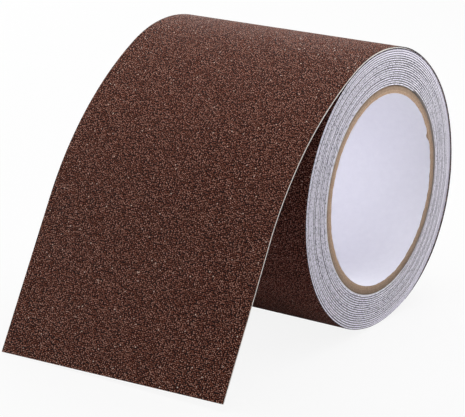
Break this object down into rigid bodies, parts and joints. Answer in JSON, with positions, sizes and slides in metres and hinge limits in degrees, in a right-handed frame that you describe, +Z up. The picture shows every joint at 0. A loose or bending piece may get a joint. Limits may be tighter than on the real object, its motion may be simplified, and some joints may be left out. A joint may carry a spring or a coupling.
{
  "type": "grip tape roll",
  "caption": "Roll of brown anti-slip grit tape wound on a lined cardboard core, its free end led off the top and down to the floor over a release liner that peels.",
  "frame": {"origin": "on the floor, under the core's axis, at half the tape's width, in the flat that the roll stands on", "axes": "+X along the core's axis, +Z up, the free end reaches towards -Y"},
  "size_m": [0.1016, 0.166, 0.112],
  "materials": {
    "core_board": "wound grey-brown board, cut ends",
    "core_lining": "white paper, matt",
    "start_strip": "kraft paper, sticky on both sides",
    "grit_tape": "mineral grit in brown lacquer on film",
    "grit_coat": "mineral grit in brown lacquer",
    "backing_film": "thin plain film",
    "adhesive": "tacky coat",
    "release_liner": "coated white paper"
  },
  "bodies": {
    "outer_turn": {"outer_turn_tape": "grit_tape", "outer_turn_liner": "release_liner"},
    "roll": {"core_board": "core_board", "core_lining": "core_lining", "start_strip": "start_strip", "wound_tape": "grit_tape", "wound_liner": "release_liner"},
    "tape_end": {"end_grit_coat": "grit_coat", "end_film": "backing_film", "end_adhesive": "adhesive", "end_liner": "release_liner"},
    "liner_end": {"liner_flap": "release_liner"}
  },
  "joints": [
    {"name": "roll_spin", "type": "hinge", "parent": "outer_turn", "child": "roll", "pos_m": [0, 0, 0.05533], "axis": [1, 0, 0], "continuous": true},
    {"name": "end_lift", "type": "hinge", "parent": "outer_turn", "child": "tape_end", "pos_m": [0, -0.02577, 0.1059], "axis": [-1, 0, 0], "range_deg": [0, 100]},
    {"name": "liner_peel", "type": "hinge", "parent": "tape_end", "child": "liner_end", "pos_m": [0, -0.09433, 0.02624], "axis": [1, 0, 0], "range_deg": [0, 120]}
  ]
}
